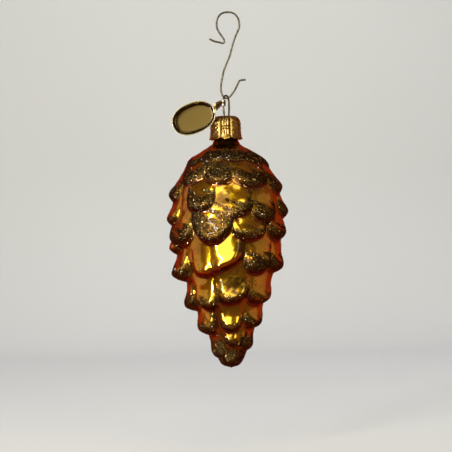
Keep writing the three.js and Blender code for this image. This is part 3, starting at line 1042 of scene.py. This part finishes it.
@dataclass
class StampedCap:
    """The crown cap: spun from its profile, embossed, scalloped, given its sheet and drilled."""

    profile: tuple = (
        (2, 0),
        (4, 0),
        (4.8, -0.25),
        (5.5, -0.9),
        (5.95, -1.9),
        (6.15, -3.2),
        (6.2, -4.8),
        (6.2, -6.4),
        (6.3, -7.4),
        (6.45, -8.2),
        (6.6, -8.9),
    )
    lobes: int = 9
    notch_depth: float = 0.9
    lobe_flare: float = 0.25
    groove_width: float = 0.075
    groove_depth: float = 0.3
    ribs_across: int = 4
    leaf_count: int = 7
    skirt_start: float = -6.4
    skirt_end: float = -8.9
    wall_start: float = -0.6
    wall_fade: float = 0.8
    rim_swell: float = 0.14
    rim_start: float = 0.82
    rib_height: float = 0.12
    rib_bands: tuple = ((-2.5, 1.35), (-6.6, 0.75))
    bead_height: float = 0.22
    bead_row: float = -4.85
    bead_width: float = 0.32
    line_depth: float = 0.2
    line_rows: tuple = (-4.25, -5.45)
    line_width: float = 0.14
    stem_height: float = 0.1
    stem_width: float = 0.05
    stem_band: tuple = (-4.0, 2.7)
    leaf_height: float = 0.3
    leaf_start: float = -1.7
    leaf_step: float = 0.82
    leaf_aside: float = 0.17
    leaf_length: float = 0.16
    leaf_width: float = 0.5
    leaf_slant: float = 1.6
    low_flat: float = 0.03
    low_fade: float = 0.1
    low_share: float = 0.7
    sheet: float = 0.3
    steps_round: int = 360
    rings: int = 70
    hole_radius: float = 0.7
    drill_depth: float = 3.0
    # The dark colour is painted shade in the grooves and the flat ground.
    finish: MetalFinish = MetalFinish(
        "stamped_gold_metal", (0.62, 0.44, 0.17), (0.38, 0.24, 0.08), hollow_shade=("low", (0.12, 0.032, 0.006))
    )

    def build(self, holes: list) -> bpy.types.Object:
        """Builds and dresses the cap.

        Args:
            holes: places of the holes for the loop's legs, in millimetres.

        Returns:
            The finished piece.
        """
        line = evenly_spaced(catmull_rom(np.array(self.profile, float), 20), self.rings)
        line = np.vstack([[0.0, 0.0], line])
        piece = spin_profile("cap_stamping", line, self.steps_round)
        self.emboss(piece)
        apply_modifier(piece, "SOLIDIFY", thickness=self.sheet * MM, offset=-1.0, use_even_offset=True)
        for x, y in holes:
            leave_edit_and_deselect()
            place = (x * MM, y * MM, CAP_TOP_Z * MM)
            bpy.ops.mesh.primitive_cylinder_add(
                vertices=32, radius=self.hole_radius * MM, depth=self.drill_depth * MM, location=place
            )
            combine(piece, bpy.context.object, BooleanKind.CUT)
        face_outwards(piece, 0.0001)
        shade(piece, 40.0)
        piece.data.materials.append(self.finish.build())
        return piece

    def emboss(self, piece: bpy.types.Object) -> None:
        """Presses the grooves, ribs and beads in and pulls the scallops down."""
        turn, radius, height = round_axis(read_points(piece))
        skirt = np.clip((self.skirt_start - height) / (self.skirt_start - self.skirt_end), 0.0, 1.0)
        lobe = np.abs(np.cos(np.radians(self.lobes * turn / 2.0)))
        wall = smooth_step((self.wall_start - height) / self.wall_fade)
        panel = 360.0 / self.lobes
        inside = ((turn + panel / 2.0) % panel) / panel - 0.5
        odd = np.floor((turn + panel / 2.0) / panel).astype(int) % 2 == 1
        groove = np.exp(-(((np.abs(inside) - 0.5) / self.groove_width) ** 2))
        raised = np.where(odd, self.leaves(inside, height), self.ribs(inside, height))
        raised = raised * (1.0 - groove)
        rim = self.rim_swell * smooth_step((skirt - self.rim_start) / (1.0 - self.rim_start))
        out = wall * (raised - self.groove_depth * groove) + rim + self.lobe_flare * skirt * lobe
        drop = self.notch_depth * skirt * lobe
        write_points(piece, from_axis(turn, radius + np.where(radius > 0.5, out, 0.0), height - drop))
        # The grooves and the flat ground between the raised work are marked for painted shade.
        flat = smooth_step((self.low_flat - raised) / self.low_fade)
        low = np.clip(groove + self.low_share * flat, 0.0, 1.0) * wall * (1.0 - skirt)
        set_attribute(piece, "low", low)

    @staticmethod
    def band(height: np.ndarray, middle: float, half: float) -> np.ndarray:
        """Returns 1 inside a band of heights and 0 outside it, with soft ends."""
        return np.exp(-(((height - middle) / half) ** 6))

    def ribs(self, inside: np.ndarray, height: np.ndarray) -> np.ndarray:
        """A panel of upright ribs with a row of beads between two lines.

        Args:
            inside: place across the panel, from -0.5 to 0.5.
            height: from the cap's top, in millimetres.

        Returns:
            How far the sheet stands out, in millimetres.
        """
        upright = np.cos(2.0 * math.pi * self.ribs_across * inside)
        bands = sum(self.band(height, *band) for band in self.rib_bands)
        beads = np.exp(-(((height - self.bead_row) / self.bead_width) ** 2)) * (0.6 + 0.4 * upright)
        lines = sum(np.exp(-(((height - line) / self.line_width) ** 2)) for line in self.line_rows)
        return self.rib_height * upright * bands + self.bead_height * beads - self.line_depth * lines

    def leaves(self, inside: np.ndarray, height: np.ndarray) -> np.ndarray:
        """A panel with a stem of small rounded leaves, left and right in turn.

        Args:
            inside: place across the panel, from -0.5 to 0.5.
            height: from the cap's top, in millimetres.

        Returns:
            How far the sheet stands out, in millimetres.
        """
        stem = np.exp(-((inside / self.stem_width) ** 2)) * self.band(height, *self.stem_band)
        total = self.stem_height * stem
        for index in range(self.leaf_count):
            side = 1.0 if index % 2 else -1.0
            middle = self.leaf_start - self.leaf_step * index
            along = (inside - self.leaf_aside * side) / self.leaf_length
            slant = self.leaf_slant * (inside * side - self.leaf_aside)
            across = (height - middle + slant) / self.leaf_width
            total = total + self.leaf_height * np.exp(-(along**2) - across**2)
        return total


# The wires and the tag


@dataclass
class WireLoop:
    """The spring wire loop, its legs through the cap and splayed in the neck."""

    centre_x: float = 0.5
    half_width: float = 2.4
    plane_turn: float = 30.0
    arch_centre: float = 6.9
    upright_foot: float = 3.4
    hole_half_width: float = 1.95
    hole_reach: float = 0.6
    samples: int = 220
    legs: tuple = ((2.1, -1.8), (2.6, -5), (2.8, -9), (3.1, -11), (4.2, -14), (5.1, -16.5))
    finish: MetalFinish = MetalFinish("spring_wire", (0.20, 0.17, 0.14), (0.07, 0.055, 0.045))

    def at(self, width: float, height: float) -> tuple:
        """A place in the loop's plane, in millimetres; the front leg has negative widths."""
        turn = math.radians(self.plane_turn)
        return (
            AXIS_X + self.centre_x + width * math.sin(turn),
            width * math.cos(turn),
            CAP_TOP_Z + height,
        )

    def holes(self) -> list:
        """The places where the legs go through the cap."""
        return [self.at(side * self.hole_half_width, 0.0)[:2] for side in (-1, 1)]

    def build(self) -> bpy.types.Object:
        """Builds and dresses the loop.

        Returns:
            The finished piece.
        """
        middle = (self.upright_foot + self.arch_centre) / 2.0
        upright = [(self.half_width, height) for height in (self.upright_foot, middle, self.arch_centre)]
        through = [(self.hole_half_width, side * self.hole_reach) for side in (-1, 1)]
        below = [*reversed(self.legs), *through]
        leg = below + upright
        arch = [
            (
                -self.half_width * math.cos(math.radians(turn)),
                self.arch_centre + self.half_width * math.sin(math.radians(turn)),
            )
            for turn in (30, 60, 90, 120, 150)
        ]
        line = [(-width, height) for width, height in leg] + arch + list(reversed(leg))
        piece = wire_mesh("spring_wire_loop", np.array([self.at(*place) for place in line]), self.samples)
        piece.data.materials.append(self.finish.build())
        return piece


@dataclass
class BentHook:
    """The S hook, bent from one wire."""

    line: tuple = (
        (-8.3, -10.9),
        (-7.3, -11.4),
        (-6.1, -12),
        (-4.9, -12.3),
        (-3.6, -12.6),
        (-2.5, -12.9),
        (-1.8, -12.4),
        (-2, -11.3),
        (-2.9, -9.9),
        (-3.9, -8.3),
        (-4.7, -6.8),
        (-5, -5.2),
        (-4.95, -3.9),
        (-4.4, -2),
        (-3.3, -0.5),
        (-1.8, 0.25),
        (0, 0.4),
        (1.8, 0.15),
        (3.3, -0.9),
        (4.3, -2.4),
        (4.7, -4.2),
        (4.7, -6.3),
        (4, -7.9),
        (3.2, -9.6),
        (2.5, -11.4),
        (1.6, -14),
        (0.35, -18.3),
        (-0.8, -21),
        (-2.3, -24.6),
        (-3, -27.4),
        (-3.6, -30.2),
        (-3.8, -32.6),
        (-3.5, -34.6),
        (-2.7, -36.1),
        (-1.6, -36.6),
        (-0.4, -36.2),
        (0.9, -34.9),
        (2.3, -32.9),
        (3.6, -30.4),
        (4.3, -29.2),
        (5.4, -28.9),
        (7, -28.8),
    )
    samples: int = 300
    finish: MetalFinish = MetalFinish("hook_wire_steel", (0.20, 0.19, 0.18), (0.07, 0.065, 0.06))

    def build(self) -> bpy.types.Object:
        """Builds and dresses the hook.

        Returns:
            The finished piece.
        """
        line = np.array([(across, 0.0, height) for across, height in self.line])
        piece = wire_mesh("hanger_hook", line, self.samples)
        piece.data.materials.append(self.finish.build())
        return piece


@dataclass
class OvalTag:
    """The blank oval tag: a stamped pan, and a tab rolled round the loop's front leg."""

    loop: WireLoop
    centre_x: float = -13.5
    face_y: float = -6.0
    centre_height: float = -0.6
    half_length: float = 9.55
    half_width: float = 6.6
    tilt: float = 21.6
    squareness: float = 2.25
    sheet: float = 0.3
    outline_steps: int = 120
    tab_bottom: float = 4.7
    tab_top: float = 7.2
    tab_reaches: tuple = (4.4, 3.9, 3.3)
    tab_root_drop: float = 1.7
    tab_root_growth: float = 1.6
    tab_drop_start: float = 1.1
    tab_drop_reach: float = 3.1
    tab_levels: int = 8
    curl_radius: float = 0.7
    curl_turns: float = 0.82
    curl_start: float = 215.0
    curl_steps: int = 36
    steps_in: tuple = (
        (0.08, 0.05),
        (0.18, 0.0),
        (0.1, -0.06),
        (0.16, -0.2),
        (0.2, -0.26),
        (0.24, -0.2),
        (0.34, -0.16),
        (0.7, -0.14),
        (1.1, -0.08),
        (1.0, -0.05),
    )
    wall_steps: int = 6
    lean: float = -0.3
    low_depth: float = 0.4
    low_fade: float = 0.3
    # The dark tan is painted shade on the sunk floor of the pan.
    finish: MetalFinish = MetalFinish(
        "stamped_silver_sheet",
        bright=(0.46, 0.43, 0.40),
        dull=(0.36, 0.33, 0.30),
        roughness=(0.14, 0.26),
        hollow_shade=("low", (0.085, 0.06, 0.034)),
    )

    def build(self) -> bpy.types.Object:
        """Builds and dresses the tag.

        Returns:
            The finished piece.
        """
        piece = self.pan()
        combine(piece, self.tab(), BooleanKind.JOIN)
        face_outwards(piece, 0.0001)
        shade(piece, 35.0)
        piece.data.materials.append(self.finish.build())
        return piece

    def pan(self) -> bpy.types.Object:
        """Presses the oval pan out of one face.

        Returns:
            A closed sheet.
        """
        turn = np.arange(self.outline_steps) / self.outline_steps * 2.0 * math.pi
        power = 2.0 / self.squareness
        outline = np.column_stack(
            [
                self.half_length * np.sign(np.cos(turn)) * np.abs(np.cos(turn)) ** power,
                self.half_width * np.sign(np.sin(turn)) * np.abs(np.sin(turn)) ** power,
                np.zeros(self.outline_steps),
            ]
        )
        piece = new_object("tag_plate", outline, [], [list(range(self.outline_steps))])
        make_active(piece)
        bpy.ops.object.mode_set(mode="EDIT")
        bpy.ops.mesh.select_all(action="SELECT")
        for step, (inwards, down) in enumerate(self.steps_in):
            bpy.ops.mesh.inset(thickness=inwards * MM, depth=0.0)
            aside = self.lean * inwards if step >= self.wall_steps else 0.0
            bpy.ops.transform.translate(value=(aside * MM, 0.0, down * MM))
        bpy.ops.object.mode_set(mode="OBJECT")
        # The sunk floor of the pan is marked for painted shade, a dark tan.
        depth = -read_points(piece)[:, 2]
        set_attribute(piece, "low", 1.0 - smooth_step((self.low_depth - depth) / self.low_fade))
        apply_modifier(piece, "SOLIDIFY", thickness=self.sheet * MM, offset=-1.0)
        middle = Vector((AXIS_X + self.centre_x, self.face_y, CAP_TOP_Z + self.centre_height))
        place = (
            Matrix.Translation(middle * MM)
            @ Matrix.Rotation(math.pi / 2.0, 4, "X")
            @ Matrix.Rotation(math.radians(self.tilt), 4, "Z")
        )
        piece.data.transform(place)
        face_outwards(piece, 0.0001)
        return piece

    def tab(self) -> bpy.types.Object:
        """Rolls the tab from the pan's rim round the front leg.

        Returns:
            A closed strip.
        """
        leg = self.loop.at(-self.loop.half_width, 0.0)
        middle = self.curl_radius + self.sheet / 2.0
        flat_y = self.face_y + self.sheet / 2.0
        line = [(leg[0] - reach, flat_y) for reach in self.tab_reaches]
        for step in range(self.curl_steps + 1):
            turn = math.radians(self.curl_start + step / self.curl_steps * self.curl_turns * 360.0)
            line.append((leg[0] + middle * math.cos(turn), leg[1] + middle * math.sin(turn)))
        points, faces = [], []
        for level in range(self.tab_levels + 1):
            up = level / self.tab_levels
            for x, y in line:
                share = (leg[0] - self.tab_drop_start - x) / self.tab_drop_reach
                reach = float(smooth_step(np.array(share)))
                height = self.tab_bottom + up * (self.tab_top - self.tab_bottom)
                height += (up - 1.0) * self.tab_root_growth * reach - self.tab_root_drop * reach
                points.append((x, y, CAP_TOP_Z + height))
        width = len(line)
        for level in range(self.tab_levels):
            for index in range(width - 1):
                start = level * width + index
                faces.append([start, start + 1, start + width + 1, start + width])
        piece = new_object("tag_tab", np.array(points), [], faces)
        apply_modifier(piece, "SOLIDIFY", thickness=self.sheet * MM, offset=0.0)
        face_outwards(piece, 0.0001)
        return piece


# Stage, lights and camera


@dataclass(frozen=True)
class Lamp:
    """One soft light that faces the cone: its size and distance in millimetres, and its power in watts.

    azimuth is in degrees round from the front, to the right, elevation is above the level, and mirrored
    says whether glass and metal show it.
    """

    name: str
    azimuth: float
    elevation: float
    size: tuple
    power: float
    colour: tuple
    distance: float = 620.0
    mirrored: bool = True


LAMPS = (
    Lamp("softbox_front", -15.0, 13.0, (430.0, 430.0), 1.75, (1.0, 0.93, 0.40)),
    Lamp("window_right", 29.0, 10.0, (64.0, 340.0), 0.3, (1.0, 0.93, 0.40)),
    Lamp("strip_left", -36.0, 4.0, (28.0, 600.0), 2.4, (1.0, 0.98, 0.94)),
    Lamp("key", -26.0, 38.0, (24.0, 24.0), 0.16, (1.0, 0.96, 0.90)),
    Lamp("top_card", 8.0, 52.0, (300.0, 190.0), 0.36, (1.0, 0.93, 0.45)),
    Lamp("card_left", -86.0, 4.0, (560.0, 500.0), 0.24, (1.0, 0.84, 0.62)),
    Lamp("card_right", 82.0, 4.0, (560.0, 500.0), 0.12, (1.0, 0.80, 0.56)),
    Lamp("overhead", 160.0, 66.0, (500.0, 300.0), 2.2, (1.0, 0.98, 0.95), distance=700.0, mirrored=False),
)


@dataclass
class Studio:
    """A pale sweep behind and below, soft lights in front, and the camera."""

    target: tuple = (-3.03, 0.0, -91.5)
    distance: float = 540.0
    lens: float = 100.0
    roll: float = 1.37
    floor_drop: float = 40.0
    backdrop_gap: float = 600.0
    sweep_width: float = 3000.0
    sweep_depth: float = 1600.0
    sweep_height: float = 1600.0
    sweep_bend: float = 150.0
    lit_height: float = -98.0
    mirrored_front: tuple = (0.115, 0.062, 0.030, 1.0)
    mirrored_behind: tuple = (0.26, 0.042, 0.010, 1.0)
    behind_range: tuple = (-0.35, 0.7)
    below_share: float = -0.7
    fill: tuple = (0.34, 0.34, 0.35, 1.0)
    sensor: float = 36.0
    near_clip: float = 0.01
    backdrop: StageFinish = StageFinish()

    def build(self) -> None:
        """Sets up the stage, the lights, the world and the camera."""
        self.sweep()
        for lamp in LAMPS:
            self.light(lamp)
        self.world()
        self.camera()
        bpy.context.scene.view_settings.view_transform = "Standard"

    def sweep(self) -> None:
        """Builds the floor and wall as one curved sheet."""
        low = CAP_TOP_Z - ConeSurface.length - self.floor_drop
        middle = self.backdrop_gap - self.sweep_depth / 2.0
        leave_edit_and_deselect()
        bpy.ops.mesh.primitive_plane_add(size=1.0)
        floor = bpy.context.object
        floor.name = "backdrop_sweep"
        floor.data.transform(Matrix.Diagonal((self.sweep_width * MM, self.sweep_depth * MM, 1.0, 1.0)))
        floor.data.transform(Matrix.Translation((0.0, middle * MM, low * MM)))
        make_active(floor)
        bpy.ops.object.mode_set(mode="EDIT")
        bpy.ops.mesh.select_all(action="DESELECT")
        bpy.ops.object.mode_set(mode="OBJECT")
        back = max(vertex.co.y for vertex in floor.data.vertices)
        for edge in floor.data.edges:
            edge.select = all(abs(floor.data.vertices[v].co.y - back) < 1e-6 for v in edge.vertices)
        bpy.ops.object.mode_set(mode="EDIT")
        bpy.ops.mesh.select_mode(type="EDGE")
        rise = (0.0, 0.0, self.sweep_height * MM)
        bpy.ops.mesh.extrude_region_move(TRANSFORM_OT_translate={"value": rise})
        bpy.ops.object.mode_set(mode="OBJECT")
        apply_modifier(floor, "BEVEL", width=self.sweep_bend * MM, segments=16, limit_method="ANGLE")
        shade(floor)
        floor.data.materials.append(self.backdrop.build())
        floor.visible_glossy = False

    def light(self, lamp: Lamp) -> None:
        """Adds one area light that faces the cone's middle."""
        data = bpy.data.lights.new(lamp.name, "AREA")
        data.shape = "RECTANGLE"
        data.size, data.size_y = lamp.size[0] * MM, lamp.size[1] * MM
        data.energy = lamp.power
        data.color = lamp.colour
        holder = bpy.data.objects.new(lamp.name, data)
        bpy.context.scene.collection.objects.link(holder)
        holder.visible_glossy = lamp.mirrored
        turn, rise = math.radians(lamp.azimuth), math.radians(lamp.elevation)
        away = Vector((math.sin(turn) * math.cos(rise), -math.cos(turn) * math.cos(rise), math.sin(rise)))
        middle = Vector((AXIS_X, 0.0, self.lit_height))
        holder.location = (middle + away * lamp.distance) * MM
        holder.rotation_euler = away.to_track_quat("Z", "Y").to_euler()

    def world(self) -> None:
        """A dim room with a warm far wall in reflections, and a soft pale fill for everything else."""
        world = bpy.data.worlds.new("room")
        bpy.context.scene.world = world
        world.use_nodes = True
        tree = world.node_tree
        background = tree.nodes["Background"]
        path = tree.nodes.new("ShaderNodeLightPath")
        place = tree.nodes.new("ShaderNodeTexCoord")
        split = tree.nodes.new("ShaderNodeSeparateXYZ")
        behind = tree.nodes.new("ShaderNodeMapRange")
        behind.inputs["From Min"].default_value = self.behind_range[0]
        behind.inputs["From Max"].default_value = self.behind_range[1]
        mirrored = tree.nodes.new("ShaderNodeMixRGB")
        mirrored.inputs["Color1"].default_value = self.mirrored_front
        mirrored.inputs["Color2"].default_value = self.mirrored_behind
        mix = tree.nodes.new("ShaderNodeMixRGB")
        mix.inputs["Color1"].default_value = self.fill
        tree.links.new(place.outputs["Generated"], split.inputs["Vector"])
        lower = tree.nodes.new("ShaderNodeMath")
        lower.operation = "MULTIPLY_ADD"
        lower.inputs[1].default_value = self.below_share
        tree.links.new(split.outputs["Z"], lower.inputs[0])
        tree.links.new(split.outputs["Y"], lower.inputs[2])
        tree.links.new(lower.outputs["Value"], behind.inputs["Value"])
        tree.links.new(behind.outputs["Result"], mirrored.inputs["Fac"])
        tree.links.new(mirrored.outputs["Color"], mix.inputs["Color2"])
        tree.links.new(path.outputs["Is Glossy Ray"], mix.inputs["Fac"])
        tree.links.new(mix.outputs["Color"], background.inputs["Color"])

    def camera(self) -> None:
        """Puts the camera level with the cone's middle, rolled as the photograph is."""
        data = bpy.data.cameras.new("camera")
        data.lens = self.lens
        data.sensor_width = self.sensor
        data.clip_start = self.near_clip
        camera = bpy.data.objects.new("camera", data)
        bpy.context.scene.collection.objects.link(camera)
        x, y, z = self.target
        roll = math.radians(self.roll)
        up = Vector((math.sin(roll), 0.0, math.cos(roll)))
        back = Vector((0.0, -1.0, 0.0))
        right = up.cross(back)
        turned = Matrix((right, up, back)).transposed().to_4x4()
        camera.matrix_world = Matrix.Translation(Vector((x, y - self.distance, z)) * MM) @ turned
        bpy.context.scene.camera = camera


def attach(piece: bpy.types.Object, body: str, slot: Slot, *nodes: str) -> None:
    """Makes a piece ride on a body and stand for its nodes.

    Args:
        piece: the finished piece.
        body: the CAD body that it moves with.
        slot: its material slot; not used.
        nodes: the CAD nodes that it stands for.
    """
    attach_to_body(piece, body)
    if nodes:
        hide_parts(*nodes)
    LOG.info("%s: %d faces on %s", piece.name, len(piece.data.polygons), body)


def main() -> None:
    """Builds the ornament and its stage."""
    logging.basicConfig(level=logging.INFO, format="%(relativeCreated)d ms %(message)s")
    surface = ConeSurface()
    attach(PineConeGlass(surface).build(), ORNAMENT_BODY, Slot.GLASS, "glass_cone")
    for piece in GlitterCoat(surface).build():
        attach(piece, ORNAMENT_BODY, Slot.GLASS)
    loop = WireLoop()
    attach(StampedCap().build(loop.holes()), ORNAMENT_BODY, Slot.CAP, "cap")
    attach(loop.build(), ORNAMENT_BODY, Slot.LOOP, "wire_loop")
    attach(BentHook().build(), ORNAMENT_BODY, Slot.HOOK, "hook")
    attach(OvalTag(loop).build(), TAG_BODY, Slot.TAG, "tag")
    Studio().build()


if __name__ == "__main__":
    main()
